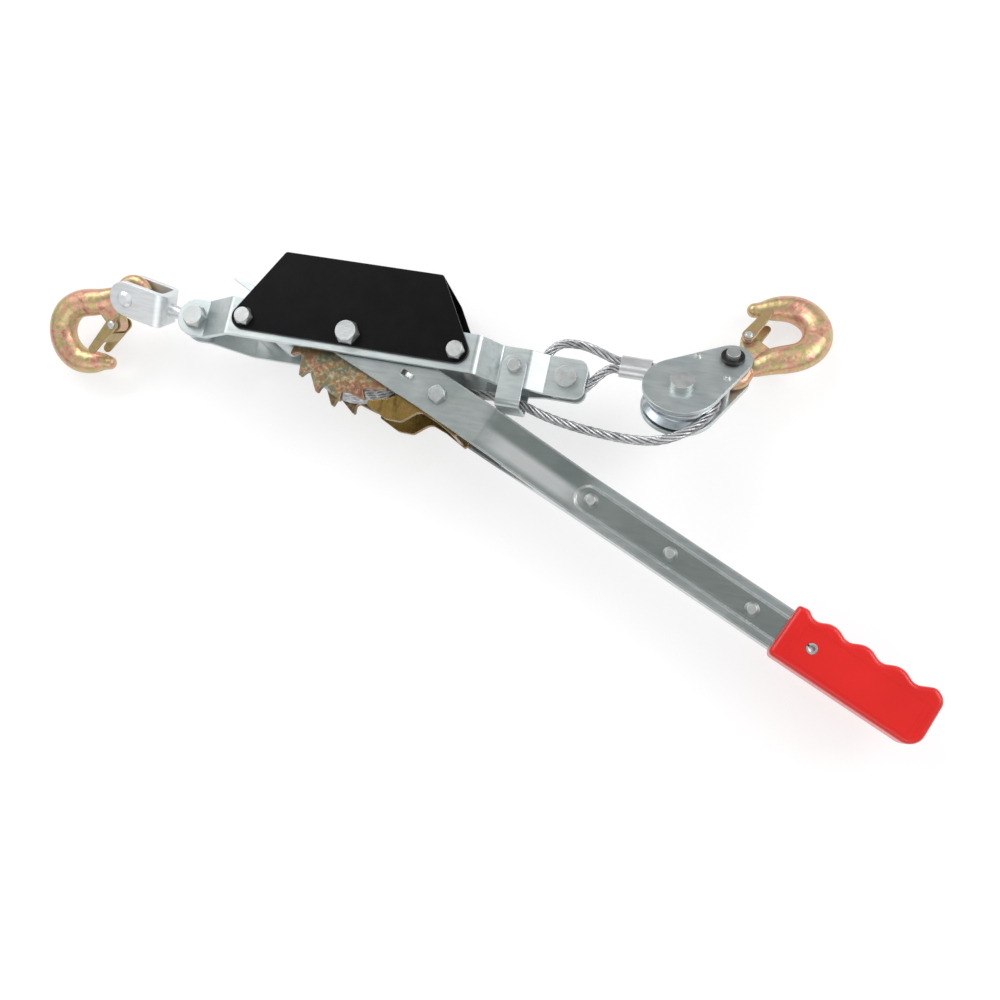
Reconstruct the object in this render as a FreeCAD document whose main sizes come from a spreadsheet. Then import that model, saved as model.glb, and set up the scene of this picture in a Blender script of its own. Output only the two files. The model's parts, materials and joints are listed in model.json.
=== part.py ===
import FreeCAD, Part
import math
import os
import Sketcher
from FreeCAD import Placement, Rotation, Vector

# A come along winch lying on its side: Z is the drum axis, X is the line of pull with the
# frame hook at -X and the pulley block at +X, and the handle hangs towards -Y.
# The origin is on the drum axis, in the plane of the rear axle nut's face.

SIZES = [
    # frame
    ("bolt_pitch", 65.0),
    ("plate_width", 23.0),
    ("plate_t", 3.0),
    ("plate_inner", 22.5),
    ("bend_left", 75.5),
    ("bend_right", 77.5),
    ("jog_left", 21.5),
    ("jog_right", 11.5),
    ("guide_gap", 17.0),
    ("step_x", 105.5),
    ("step_run", 10.5),
    ("clevis_x", 104.5),
    ("clevis_gap", 9.0),
    ("anchor_x", 127.0),
    ("anchor_gap", 7.0),
    ("anchor_end", 12.0),
    ("cover_t", 1.2),
    ("cover_top", 43.0),
    ("cover_half", 49.5),
    ("cover_r", 7.6),
    # fasteners
    ("m8_d", 8.0),
    ("m8_af", 13.0),
    ("m8_head", 5.3),
    ("m8_nut", 6.5),
    ("m6_d", 6.0),
    ("m6_af", 10.0),
    ("m6_head", 4.0),
    ("m6_nut", 5.0),
    ("m5_d", 5.0),
    ("m5_af", 8.0),
    ("m5_head", 3.5),
    ("m5_nut", 4.0),
    ("hole_gap", 0.1),
    ("run_gap", 0.05),
    ("sleeve_d", 14.0),
    ("spacer_d", 10.0),
    # rope guide
    ("guide_x", 97.5),
    ("guide_width", 14.4),
    ("guide_t", 1.6),
    ("guide_drop", 23.7),
    # drum
    ("drum_half", 13.5),
    ("core_d", 24.0),
    ("spigot_d", 20.0),
    ("pack_d", 66.0),
    ("ratchet_t", 4.0),
    ("tip_r", 39.0),
    ("root_r", 31.0),
    # handle
    ("strip_gap", 0.9),
    ("strip_t", 2.5),
    ("strip_width", 24.5),
    ("strip_flat", 98.0),
    ("strip_joined", 163.0),
    ("joined_half", 9.0),
    ("flange_t", 1.6),
    ("pawl_r", 64.4),
    ("rivet_1", 170.0),
    ("rivet_pitch", 53.0),
    ("grip_start", 295.0),
    ("grip_length", 89.5),
    ("grip_t", 24.0),
    ("grip_pin_d", 6.0),
    # pawls
    ("finger_t", 3.0),
    ("finger_z", 14.2),
    # yoke
    ("stud_d", 7.8),
    ("stud_reach", 21.0),
    ("yoke_reach", 27.5),
    ("yoke_half", 10.0),
    ("yoke_t", 3.4),
    ("yoke_r", 10.8),
    ("hook_pin_d", 8.0),
    # hook
    ("eye_r", 9.0),
    ("eye_bar", 4.0),
    ("bowl_x", 36.0),
    ("bowl_y", 22.0),
    ("bowl_r", 18.5),
    # block
    ("block_gap", 13.5),
    ("block_t", 2.5),
    ("block_r", 22.0),
    ("block_small_r", 11.5),
    ("sheave_w", 11.0),
    ("sheave_r", 21.5),
    ("groove_r", 17.2),
    # rope
    ("rope_d", 5.5),
]

HANDLE_ANGLE = -23.7
TEETH = 16
FLANK_ANGLE = -65.5
BLOCK_X = 193.5
BLOCK_Y = -1.0
BLOCK_Z = 8.0
BLOCK_LEAN = 31.0
HOOK_PIN_X = 24.5
HOOK_PIN_Y = 27.8
FRAME_HOOK_TILT = -12.0
BLOCK_HOOK_TILT = 10.0
BLOCK_HOOK_TURN = 20.0
STUD_YAW = -11.0
YOKE_ROLL = 34.0
FRAME_HOOK_TURN = 200.0
DRIVE_LIFT = 7.3
HOLD_X = -48.0
HOLD_Y = -3.0
HOLD_LIFT = 18.0

doc = FreeCAD.newDocument("come_along_winch")
sheet = doc.addObject("Spreadsheet::Sheet", "Sizes")
for row, (alias, value) in enumerate(SIZES, 1):
    sheet.set("A%d" % row, alias)
    sheet.set("B%d" % row, str(value))
    sheet.setAlias("B%d" % row, alias)
doc.recompute()


def size(alias):
    return float(sheet.get(alias))


X_AXIS = Vector(1, 0, 0)
Y_AXIS = Vector(0, 1, 0)
Z_AXIS = Vector(0, 0, 1)
plate_outer = size("plate_inner") + size("plate_t")
cover_outer = plate_outer + size("cover_t")
mid_z = cover_outer + size("m8_nut")
strip_z = size("drum_half") + size("ratchet_t") + size("strip_gap")
rope_r = size("rope_d") / 2
parts = []

# frames that the sub-parts are placed in
middle = Placement(Vector(0, 0, mid_z), Rotation())
handle_frame = middle * Placement(Vector(), Rotation(Z_AXIS, HANDLE_ANGLE))
yoke_centre = size("stud_reach") + size("yoke_reach")
stud_frame = middle * Placement(Vector(-size("clevis_x"), 0, 0), Rotation(Z_AXIS, STUD_YAW))
yoke_frame = stud_frame * Placement(Vector(-yoke_centre, 0, 0), Rotation(X_AXIS, YOKE_ROLL))
block_frame = middle * Placement(Vector(BLOCK_X, BLOCK_Y, BLOCK_Z), Rotation(X_AXIS, -BLOCK_LEAN))


def at(frame, x=0.0, y=0.0, z=0.0, turn=0.0):
    return frame * Placement(Vector(x, y, z), Rotation(Z_AXIS, turn))


frame_hook_frame = yoke_frame * Placement(Vector(), Rotation(X_AXIS, FRAME_HOOK_TILT))
frame_hook_frame = at(frame_hook_frame, turn=FRAME_HOOK_TURN)
block_hook_frame = at(block_frame, HOOK_PIN_X, HOOK_PIN_Y)
block_hook_frame = block_hook_frame * Placement(Vector(), Rotation(X_AXIS, BLOCK_HOOK_TILT))
block_hook_frame = at(block_hook_frame, turn=BLOCK_HOOK_TURN)
# the pawls rest lifted, just clear of the tooth tips
drive_pawl_frame = at(handle_frame, size("pawl_r"), turn=DRIVE_LIFT)
hold_pawl_frame = at(middle, HOLD_X, HOLD_Y, turn=HOLD_LIFT)


def finish(obj, label, frame):
    obj.Label = label
    obj.Placement = frame
    parts.append(obj)
    return obj


# ---- outlines ----

def belt(circles):
    """Closed outline round circles (x, y, r) that are listed counter-clockwise."""
    edges = []
    normals = []
    count = len(circles)
    for i in range(count):
        x0, y0, r0 = circles[i]
        x1, y1, r1 = circles[(i + 1) % count]
        run = math.hypot(x1 - x0, y1 - y0)
        heading = math.atan2(y1 - y0, x1 - x0)
        normals.append(heading - math.acos((r0 - r1) / run))

    def rim(i, angle):
        x, y, r = circles[i % count]
        return Vector(x + r * math.cos(angle), y + r * math.sin(angle), 0)

    for i in range(count):
        start = normals[i - 1]
        end = normals[i]
        while end < start - 1e-9:
            end += 2 * math.pi
        if circles[i][2] > 0:
            edges.append(Part.Arc(rim(i, start), rim(i, (start + end) / 2), rim(i, end)))
        edges.append(Part.LineSegment(rim(i, end), rim(i + 1, end)))
    return edges


def rounded(points):
    """Closed outline through corners (x, y, r), each corner rounded by its own radius."""
    count = len(points)
    starts = []
    ends = []
    middles = []
    for i in range(count):
        corner = Vector(points[i][0], points[i][1], 0)
        back = Vector(points[i - 1][0], points[i - 1][1], 0) - corner
        ahead = Vector(points[(i + 1) % count][0], points[(i + 1) % count][1], 0) - corner
        back.normalize()
        ahead.normalize()
        half = math.acos(max(-1.0, min(1.0, back.dot(ahead)))) / 2
        radius = points[i][2]
        reach = radius / math.tan(half)
        starts.append(corner + back * reach)
        ends.append(corner + ahead * reach)
        bisector = back + ahead
        if radius > 0:
            bisector.normalize()
            middles.append(corner + bisector * (radius / math.sin(half) - radius))
        else:
            middles.append(None)
    edges = []
    for i in range(count):
        if middles[i] is not None:
            edges.append(Part.Arc(starts[i], middles[i], ends[i]))
        edges.append(Part.LineSegment(ends[i], starts[(i + 1) % count]))
    return edges


def outline_body(name, edges, thickness, holes=()):
    """Flat piece: a sketch on the XY plane, with round holes (x, y, diameter formula), padded."""
    body = doc.addObject("PartDesign::Body", name + "_body")
    sketch = body.newObject("Sketcher::SketchObject", name + "_sketch")
    plane = [item for item in body.Origin.OriginFeatures if item.Role == "XY_Plane"][0]
    sketch.AttachmentSupport = [(plane, "")]
    sketch.MapMode = "FlatFace"
    sketch.addGeometry(edges, False)
    for x, y, diameter in holes:
        circle = sketch.addGeometry(Part.Circle(Vector(x, y, 0), Z_AXIS, 1.0), False)
        rule = sketch.addConstraint(Sketcher.Constraint("Diameter", circle, 2.0))
        sketch.setExpression("Constraints[%d]" % rule, diameter)
    pad = body.newObject("PartDesign::Pad", name + "_pad")
    pad.Profile = sketch
    pad.setExpression("Length", thickness)
    return body


def cylinder(name, diameter, length, z=0.0):
    obj = doc.addObject("Part::Cylinder", name)
    obj.setExpression("Radius", "(%s) / 2" % diameter)
    obj.setExpression("Height", length)
    obj.Placement = Placement(Vector(0, 0, z), Rotation())
    return obj


def hexagon(name, flats, height, z=0.0):
    obj = doc.addObject("Part::Prism", name)
    obj.Polygon = 6
    obj.setExpression("Circumradius", "%s / sqrt(3)" % flats)
    obj.setExpression("Height", height)
    obj.Placement = Placement(Vector(0, 0, z), Rotation())
    return obj


def fuse(name, shapes):
    obj = doc.addObject("Part::MultiFuse", name)
    obj.Shapes = shapes
    return obj


def cut(name, base, tool):
    obj = doc.addObject("Part::Cut", name)
    obj.Base = base
    obj.Tool = tool
    return obj


def common(name, first, second):
    obj = doc.addObject("Part::Common", name)
    obj.Base = first
    obj.Tool = second
    return obj


def tube(name, outer, inner, length, z=0.0):
    wall = cylinder(name + "_wall", outer, length, z)
    bore = cylinder(name + "_bore", inner, length, z)
    return cut(name + "_tube", wall, bore)


def bent_strip(name, profile, width, outline, depth, holes):
    """Strip bent in the XZ plane: its side profile, width wide, trimmed to its plan outline."""
    side = outline_body(name + "_side", profile, width)
    side.Placement = Placement(Vector(0, size_of(width) / 2, 0), Rotation(X_AXIS, 90))
    plan = outline_body(name + "_plan", outline, depth, holes)
    plan.Placement = Placement(Vector(0, 0, -size_of(depth) / 2), Rotation())
    return common(name + "_bent", side, plan)


def size_of(formula):
    """Value of a formula in the sheet's names, for a placement."""
    holder = doc.getObject("Scratch")
    if holder is None:
        holder = doc.addObject("Part::Box", "Scratch")
    holder.setExpression("Length", formula)
    holder.recompute()
    return float(holder.Length)


def bolt(label, thread, z_under, z_tip, frame, x, y):
    """Hex bolt of size m5, m6 or m8: the head on top, the shank down to z_tip."""
    shank = cylinder(label + "_shank", "Sizes.%s_d" % thread, "%f" % (z_under - z_tip), z_tip)
    head = hexagon(label + "_head", "Sizes.%s_af" % thread, "Sizes.%s_head" % thread, z_under)
    dome = doc.addObject("Part::Cone", label + "_crown")
    dome.setExpression("Radius1", "Sizes.%s_af / sqrt(3) + 0.4" % thread)
    dome.setExpression("Radius2", "Sizes.%s_af / 2 - 0.5" % thread)
    dome.setExpression("Height", "Sizes.%s_head" % thread)
    dome.Placement = Placement(Vector(0, 0, z_under), Rotation())
    crowned = common(label + "_crowned", head, dome)
    finish(fuse(label + "_solid", [shank, crowned]), label, at(frame, x, y))


def nut(label, thread, z_top, frame, x, y):
    blank = hexagon(label + "_blank", "Sizes.%s_af" % thread, "Sizes.%s_nut" % thread,
                    z_top - size(thread + "_nut"))
    bore = cylinder(label + "_bore", "Sizes.%s_d + Sizes.hole_gap" % thread,
                    "Sizes.%s_nut" % thread, z_top - size(thread + "_nut"))
    finish(cut(label + "_solid", blank, bore), label, at(frame, x, y))


def rivet(label, shank_d, half_length, head_d, head_h, frame, x, y):
    """Round rivet with a flat-domed head at each end."""
    shank = cylinder(label + "_shank", "%f" % shank_d, "%f" % (2 * half_length), -half_length)
    solids = [shank]
    for side in (1, -1):
        head = doc.addObject("Part::Cone", label + "_head_%s" % ("top" if side > 0 else "low"))
        head.Radius1 = head_d / 2
        head.Radius2 = head_d * 0.3
        head.Height = head_h
        turn = Rotation() if side > 0 else Rotation(X_AXIS, 180)
        head.Placement = Placement(Vector(0, 0, side * half_length), turn)
        solids.append(head)
    finish(fuse(label + "_solid", solids), label, at(frame, x, y))


def ring_spring(label, coil_r, wire_r, z_low, turns, frame, x, y):
    """Close-wound coil spring, as touching rings."""
    pitch = wire_r * 1.9
    rings = []
    for i in range(turns):
        ring = doc.addObject("Part::Torus", "%s_ring_%d" % (label, i))
        ring.Radius1 = coil_r
        ring.Radius2 = wire_r
        ring.Placement = Placement(Vector(0, 0, z_low + wire_r + i * pitch), Rotation())
        rings.append(ring)
    finish(fuse(label + "_solid", rings), label, at(frame, x, y))


# ---- frame ----

def jog_profile():
    """Side profile of one side plate: its outer face, then its inner face plate_t inside it."""
    t = size("plate_t")
    outer = [
        (-size("clevis_x") - half_width, clevis_outer, 0),
        (-size("bend_left") - size("jog_left"), clevis_outer, t * 0.5),
        (-size("bend_left"), plate_outer, t * 1.5),
        (size("bend_right"), plate_outer, t * 1.5),
        (size("bend_right") + size("jog_right"), guide_level, t * 0.5),
        (size("step_x"), guide_level, t * 1.5),
        (size("step_x") + size("step_run"), anchor_outer, t * 0.5),
        (size("anchor_x") + size("anchor_end"), anchor_outer, 0),
    ]
    slopes = [math.atan2(b[1] - a[1], b[0] - a[0]) for a, b in zip(outer, outer[1:])]
    inner = []
    for (x, z, r), before, after in zip(outer, [0, *slopes], [*slopes, 0]):
        mean = (before + after) / 2
        reach = t / math.cos((after - before) / 2)
        inner.append((x + reach * math.sin(mean), z - reach * math.cos(mean), 2 * t - r if r else 0))
    return rounded([*reversed(inner), *outer])


clevis_outer = size("clevis_gap") / 2 + size("plate_t")
guide_level = size("guide_gap") / 2 + size("plate_t")
anchor_outer = size("anchor_gap") / 2 + size("plate_t")
half_width = size("plate_width") / 2
plate_outline = belt([
    (-size("clevis_x"), 0, half_width),
    (size("anchor_x") + size("anchor_end") - 6.0, -half_width + 6.0, 6.0),
    (size("anchor_x") + size("anchor_end") - 6.0, half_width - 6.0, 6.0),
])
plate_holes = [
    (-size("clevis_x"), 0, "Sizes.m8_d + Sizes.hole_gap"),
    (-size("bolt_pitch"), 0, "Sizes.m6_d + Sizes.hole_gap"),
    (HOLD_X, HOLD_Y, "Sizes.m6_d + Sizes.hole_gap"),
    (0, 0, "Sizes.m8_d + Sizes.hole_gap"),
    (size("bolt_pitch"), 0, "Sizes.m6_d + Sizes.hole_gap"),
    (size("guide_x"), 0, "Sizes.m5_d + Sizes.hole_gap"),
    (size("anchor_x"), 0, "Sizes.m8_d + Sizes.hole_gap"),
]
for label, turn in (("front_side_plate", 0), ("rear_side_plate", 180)):
    plate = bent_strip(label, jog_profile(), "Sizes.plate_width",
                       plate_outline, "4 * Sizes.plate_inner",
                       [(x, y if turn == 0 else -y, d) for x, y, d in plate_holes])
    finish(plate, label, middle * Placement(Vector(), Rotation(X_AXIS, turn)))

cover_side = belt([
    (-size("bolt_pitch"), 0, size("cover_r")),
    (size("bolt_pitch"), 0, size("cover_r")),
    (size("cover_half") - 2.0, size("cover_top") - 2.0, 2.0),
    (-size("cover_half") + 2.0, size("cover_top") - 2.0, 2.0),
])
cover_holes = [
    (-size("bolt_pitch"), 0, "Sizes.m6_d + Sizes.hole_gap"),
    (0, 0, "Sizes.m8_d + Sizes.hole_gap"),
    (size("bolt_pitch"), 0, "Sizes.m6_d + Sizes.hole_gap"),
]
cover_block = outline_body("cover_block", cover_side,
                           "2 * (Sizes.plate_inner + Sizes.plate_t + Sizes.cover_t)", cover_holes)
cover_block.Placement = Placement(Vector(0, 0, -cover_outer), Rotation())
inside_depth = 2 * cover_outer
inside_top = size("cover_top") - size("cover_t")
cover_void = outline_body("cover_void", rounded([
    (-30.0, -plate_outer, 0),
    (inside_top, -plate_outer, 2.5),
    (inside_top, plate_outer, 2.5),
    (-30.0, plate_outer, 0),
]), "4 * Sizes.bolt_pitch")
# the sketch's X is the cover's Y and its Y is the cover's Z
cover_void.Placement = Placement(Vector(-2 * size("bolt_pitch"), 0, 0),
                                 Rotation(Y_AXIS, Z_AXIS, X_AXIS, "ZXY"))
finish(cut("cover_sheet", cover_block, cover_void), "cover", middle)

bolt("drum_axle_bolt", "m8", cover_outer, -cover_outer - size("m8_nut"), middle, 0, 0)
nut("drum_axle_nut", "m8", -cover_outer, middle, 0, 0)
bolt("clevis_bolt", "m8", clevis_outer, -clevis_outer - size("m8_nut") + 0.6, middle,
     -size("clevis_x"), 0)
nut("clevis_nut", "m8", -clevis_outer, middle, -size("clevis_x"), 0)
for side, x in (("left", -size("bolt_pitch")), ("right", size("bolt_pitch"))):
    bolt("%s_tie_bolt" % side, "m6", cover_outer, -cover_outer - size("m6_nut") + 0.5, middle, x, 0)
    nut("%s_tie_nut" % side, "m6", -cover_outer, middle, x, 0)
    spacer = tube("%s_spacer" % side, "Sizes.spacer_d", "Sizes.m6_d + Sizes.hole_gap",
                  "2 * Sizes.plate_inner", -size("plate_inner"))
    finish(spacer, "%s_tie_spacer" % side, at(middle, x))
sleeve = tube("sleeve", "Sizes.sleeve_d", "Sizes.m8_d + Sizes.hole_gap", "2 * Sizes.plate_inner",
              -size("plate_inner"))
finish(sleeve, "axle_sleeve", middle)

# anchor pin for the rope's eye: a big low head in front, a peened end at the back
pin_shank = cylinder("anchor_shank", "Sizes.m8_d", "%f" % (2 * anchor_outer), -anchor_outer)
pin_head = cylinder("anchor_head", "12.6", "3.0", anchor_outer)
pin_end = cylinder("anchor_end_cap", "11.0", "2.0", -anchor_outer - 2.0)
finish(fuse("anchor_pin_solid", [pin_shank, pin_head, pin_end]), "anchor_pin",
       at(middle, size("anchor_x")))
spool = tube("spool", "11.0", "Sizes.m8_d + Sizes.hole_gap", "Sizes.anchor_gap - 0.4",
             -size("anchor_gap") / 2 + 0.2)
finish(spool, "anchor_spool", at(middle, size("anchor_x")))

# rope guide: a strip bent under the plates, so that the rope stays between them
guide_out = guide_level + size("guide_t")
guide_low = -size("guide_drop")
guide_in = guide_low + size("guide_t")
guide_top = size("guide_width") / 2
guide_profile = rounded([
    (guide_top, guide_level, 0), (guide_top, guide_out, 0),
    (guide_low, guide_out, 4.0), (guide_low, -guide_out, 4.0),
    (guide_top, -guide_out, 0), (guide_top, -guide_level, 0),
    (guide_in, -guide_level, 2.4), (guide_in, guide_level, 2.4),
])
guide_side = outline_body("guide_side", guide_profile, "Sizes.guide_width")
guide_side.Placement = Placement(Vector(-size("guide_width") / 2, 0, 0),
                                 Rotation(Y_AXIS, Z_AXIS, X_AXIS, "ZXY"))
guide_plan = outline_body("guide_plan", belt([
    (0, 0, guide_top), (-guide_top + 1.0, 2 * guide_low, 1.0), (guide_top - 1.0, 2 * guide_low, 1.0),
]), "4 * Sizes.plate_inner", [(0, 0, "Sizes.m5_d + Sizes.hole_gap")])
guide_plan.Placement = Placement(Vector(0, 0, -2 * size("plate_inner")), Rotation())
finish(common("guide_strip", guide_side, guide_plan), "rope_guide", at(middle, size("guide_x")))
bolt("guide_bolt", "m5", guide_out, -guide_out - size("m5_nut") + 0.5, middle, size("guide_x"), 0)
nut("guide_nut", "m5", -guide_out, middle, size("guide_x"), 0)

finish(cylinder("hold_pin", "Sizes.m6_d", "2 * (Sizes.plate_inner + Sizes.plate_t)"),
       "holding_pawl_pin", at(middle, HOLD_X, HOLD_Y, -plate_outer))
ring_spring("holding_pawl_spring", 4.4, 0.6, size("finger_z") + size("finger_t") + 0.4, 4,
            middle, HOLD_X, HOLD_Y)

# ---- drum ----

core_bore = "Sizes.sleeve_d + 2 * Sizes.run_gap"
spigot_z = size("drum_half") + size("ratchet_t") + size("strip_gap") / 2
core_wall = cylinder("core_wall", "Sizes.core_d", "2 * Sizes.drum_half", -size("drum_half"))
core_spigot = cylinder("core_spigot", "Sizes.spigot_d", "%f" % (2 * spigot_z), -spigot_z)
core_hole = cylinder("core_hole", core_bore, "%f" % (2 * spigot_z), -spigot_z)
core_solid = cut("core_solid", fuse("core_blank", [core_wall, core_spigot]), core_hole)
finish(core_solid, "drum_core", middle)
tooth_pitch = 360.0 / TEETH
tooth_points = []
for k in range(TEETH):
    root = math.radians(FLANK_ANGLE + k * tooth_pitch)
    tip = math.radians(FLANK_ANGLE + (k + 1) * tooth_pitch)
    tooth_points.append((size("root_r") * math.cos(root), size("root_r") * math.sin(root), 2.0))
    tooth_points.append((size("tip_r") * math.cos(tip), size("tip_r") * math.sin(tip), 0.9))
for label, z in (("front_ratchet", size("drum_half")),
                 ("rear_ratchet", -size("drum_half") - size("ratchet_t"))):
    wheel = outline_body(label, rounded(tooth_points), "Sizes.ratchet_t",
                         [(0, 0, "Sizes.spigot_d + 2 * Sizes.run_gap")])
    finish(wheel, label, at(middle, z=z))
pack = tube("pack", "Sizes.pack_d", "Sizes.core_d + 2 * Sizes.run_gap",
            "2 * Sizes.drum_half - 0.4", -size("drum_half") + 0.2)
finish(pack, "rope_pack", middle)

# ---- handle ----

half_strip = size("strip_width") / 2
strip_top = strip_z + size("strip_t")
joined_low = size("joined_half") - size("strip_t")
tail_end = size("grip_start") + size("grip_length") - 14.0
slope_half = math.atan2(strip_top - size("joined_half"), size("strip_joined") - size("strip_flat")) / 2
slope_shift = size("strip_t") * math.tan(slope_half)
strip_profile = [
    (-15.0, strip_z, 0), (size("strip_flat") - slope_shift, strip_z, 6.0),
    (size("strip_joined") - slope_shift, joined_low, 8.0), (tail_end, joined_low, 0),
    (tail_end, size("joined_half"), 0), (size("strip_joined"), size("joined_half"), 6.0),
    (size("strip_flat"), strip_top, 8.0), (-15.0, strip_top, 0),
]
neck_start = size("grip_start") + 2.0
strip_outline = rounded([
    (-14.0, -half_strip - 1.5, 12.0), (60.0, -half_strip, 30.0), (neck_start, -half_strip, 3.0),
    (neck_start + 5.0, -9.0, 3.0), (tail_end, -9.0, 3.0), (tail_end, 9.0, 3.0),
    (neck_start + 5.0, 9.0, 3.0), (neck_start, half_strip, 3.0), (60.0, half_strip, 30.0),
    (-14.0, half_strip + 1.5, 12.0),
])
rivet_places = [size("rivet_1") + i * size("rivet_pitch") for i in range(3)]
grip_pin_x = size("grip_start") + 18.0
strip_holes = [
    (0, 0, "Sizes.sleeve_d + 2 * Sizes.run_gap"),
    (size("pawl_r"), 0, "Sizes.m6_d + Sizes.hole_gap"),
    (grip_pin_x, 0, "Sizes.grip_pin_d + Sizes.hole_gap"),
]
strip_holes += [(x, 0, "5.1") for x in rivet_places]
panel_low = size("rivet_1") - 2.0
panel_high = neck_start
flange_start = size("strip_flat") + 8.0
flange_drop = (flange_start - size("strip_flat")) * math.tan(2 * slope_half)
for label, turn in (("front_handle_strip", 0), ("rear_handle_strip", 180)):
    strip = bent_strip(label, rounded(strip_profile), "Sizes.strip_width + 4", strip_outline,
                       "4 * Sizes.plate_inner", strip_holes)
    flanges = []
    for side, y in (("left", half_strip), ("right", -half_strip + size("flange_t"))):
        flange = outline_body("%s_%s_flange" % (label, side), rounded([
            (flange_start + 34.0, 0.3, 12.0), (neck_start - 2.0, 0.3, 0),
            (neck_start - 2.0, joined_low + 0.8, 0), (size("strip_joined"), joined_low + 0.8, 0),
            (flange_start, strip_z - flange_drop + 0.8, 0),
        ]), "Sizes.flange_t")
        flange.Placement = Placement(Vector(0, y, 0), Rotation(X_AXIS, 90))
        flanges.append(flange)
    tongue = doc.addObject("Part::Box", label + "_tongue")
    tongue.Length = 4.5
    tongue.Width = 3.0
    tongue.Height = 1.4
    tongue.Placement = Placement(Vector(42.0, -1.5, strip_top - 0.2), Rotation(Y_AXIS, -8))
    whole = fuse(label + "_whole", [strip, *flanges, tongue])
    window = doc.addObject("Part::Box", label + "_window")
    window.Length = 3.5
    window.Width = 3.4
    window.Height = 2 * size("strip_t")
    window.Placement = Placement(Vector(38.4, -1.7, strip_z - 1.0), Rotation())
    panel = outline_body(label + "_panel", belt([
        (panel_low, 0, 7.2), (panel_high, 0, 7.2),
    ]), "5")
    panel.Placement = Placement(Vector(0, 0, size("joined_half") - 0.7), Rotation())
    recess = fuse(label + "_recess", [window, panel])
    # turned about its own length, so that the rear strip mirrors the front one
    finish(cut(label + "_solid", whole, recess), label,
           handle_frame * Placement(Vector(), Rotation(X_AXIS, turn)))
for i, x in enumerate(rivet_places, 1):
    rivet("handle_rivet_%d" % i, 5.0, size("joined_half") - 0.7, 8.4, 2.4, handle_frame, x, 0)

grip_end = size("grip_start") + size("grip_length")
grip_points = [(size("grip_start"), -15.0, 3.0), (grip_end, -14.0, 9.0), (grip_end - 1.5, 16.5, 7.0)]
finger_pitch = (size("grip_length") - 10.0) / 4
for i in range(4):
    crest_x = grip_end - 8.5 - i * finger_pitch
    crest_y = 20.0 - i * 0.6
    grip_points.append((crest_x, crest_y, 10.0 if i else 5.0))
    grip_points.append((crest_x - finger_pitch / 2, crest_y - 5.2, 6.5))
grip_points.append((size("grip_start") + 6.0, 17.0, 4.0))
grip_points.append((size("grip_start"), 16.0, 2.0))
grip_blank = outline_body("grip_blank", rounded(grip_points), "Sizes.grip_t",
                          [(grip_pin_x, 0, "Sizes.grip_pin_d + Sizes.hole_gap")])
grip_blank.Placement = Placement(Vector(0, 0, -size("grip_t") / 2), Rotation())
slot_gap = 0.15
slots = []
for label, end, half in (("grip_mouth", neck_start + 6.0, half_strip + slot_gap),
                         ("grip_slot", tail_end + 2 * slot_gap, 9.0 + slot_gap)):
    slot = doc.addObject("Part::Box", label)
    slot.Length = end - size("grip_start") + 1.0
    slot.Width = 2 * half
    slot.Height = 2 * (size("joined_half") + slot_gap)
    slot.Placement = Placement(Vector(size("grip_start") - 1.0, -half, -size("joined_half") - slot_gap),
                               Rotation())
    slots.append(slot)
doc.recompute()
grip_round = doc.addObject("Part::Fillet", "grip_round")
grip_round.Base = grip_blank
rim = []
for index, edge in enumerate(grip_blank.Shape.Edges, 1):
    box = edge.BoundBox
    in_side_face = box.ZLength < 1e-6 and abs(abs(box.ZMin) - size("grip_t") / 2) < 1e-6
    round_the_pin = abs(box.Center.x - grip_pin_x) < 0.1 and box.XLength < size("grip_pin_d") + 0.2
    if in_side_face and not round_the_pin:
        rim.append((index, 3.0, 3.0))
grip_round.Edges = rim
finish(cut("grip_solid", grip_round, fuse("grip_hollow", slots)), "grip", handle_frame)
# the roll pin is rolled from strip, so it has a slit along it
pin_tube = tube("roll_tube", "Sizes.grip_pin_d", "Sizes.grip_pin_d - 2.4", "Sizes.grip_t + 0.6",
                -size("grip_t") / 2 - 0.3)
pin_slit = doc.addObject("Part::Box", "roll_slit")
pin_slit.Length = size("grip_pin_d")
pin_slit.Width = 1.2
pin_slit.Height = size("grip_t") + 2.0
pin_slit.Placement = at(Placement(Vector(), Rotation(Z_AXIS, 170)), 0, -0.6, -size("grip_t") / 2 - 1.0)
finish(cut("roll_pin", pin_tube, pin_slit), "grip_pin", at(handle_frame, grip_pin_x))
bolt("pawl_bolt", "m6", strip_top, -strip_top - size("m6_nut") + 0.5, handle_frame, size("pawl_r"), 0)
nut("pawl_nut", "m6", -strip_top, handle_frame, size("pawl_r"), 0)
ring_spring("drive_pawl_spring", 4.4, 0.6, 6.5, 6, handle_frame, size("pawl_r"), 0)

# ---- pawls ----

pawl_hole = "Sizes.m6_d + 2 * Sizes.run_gap"
drive_outline = rounded([
    (-36.6, -20.2, 0.6), (-36.2, -23.0, 1.2), (-22.0, -25.4, 8.0), (-13.0, -23.0, 4.0),
    (-6.0, -12.6, 6.0), (5.0, -13.4, 6.0), (19.5, -16.6, 1.0), (20.5, -13.0, 1.0),
    (8.5, -4.0, 5.0), (6.0, 8.0, 6.0), (-7.0, 7.0, 6.0), (-27.0, -14.6, 6.0),
])
fingers = []
for side, z in (("front", size("finger_z")), ("rear", -size("finger_z") - size("finger_t"))):
    finger = outline_body("drive_%s_finger" % side, drive_outline, "Sizes.finger_t",
                          [(0, 0, pawl_hole)])
    finger.Placement = Placement(Vector(0, 0, z), Rotation())
    fingers.append(finger)
web = doc.addObject("Part::Box", "drive_web")
web.Length = 3.0
web.Width = 3.6
web.setExpression("Height", "2 * Sizes.finger_z + 0.4")
web.Placement = Placement(Vector(15.6, -15.6, -size("finger_z") - 0.2), Rotation())
finish(fuse("drive_pawl_solid", [*fingers, web]), "drive_pawl", drive_pawl_frame)

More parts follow.
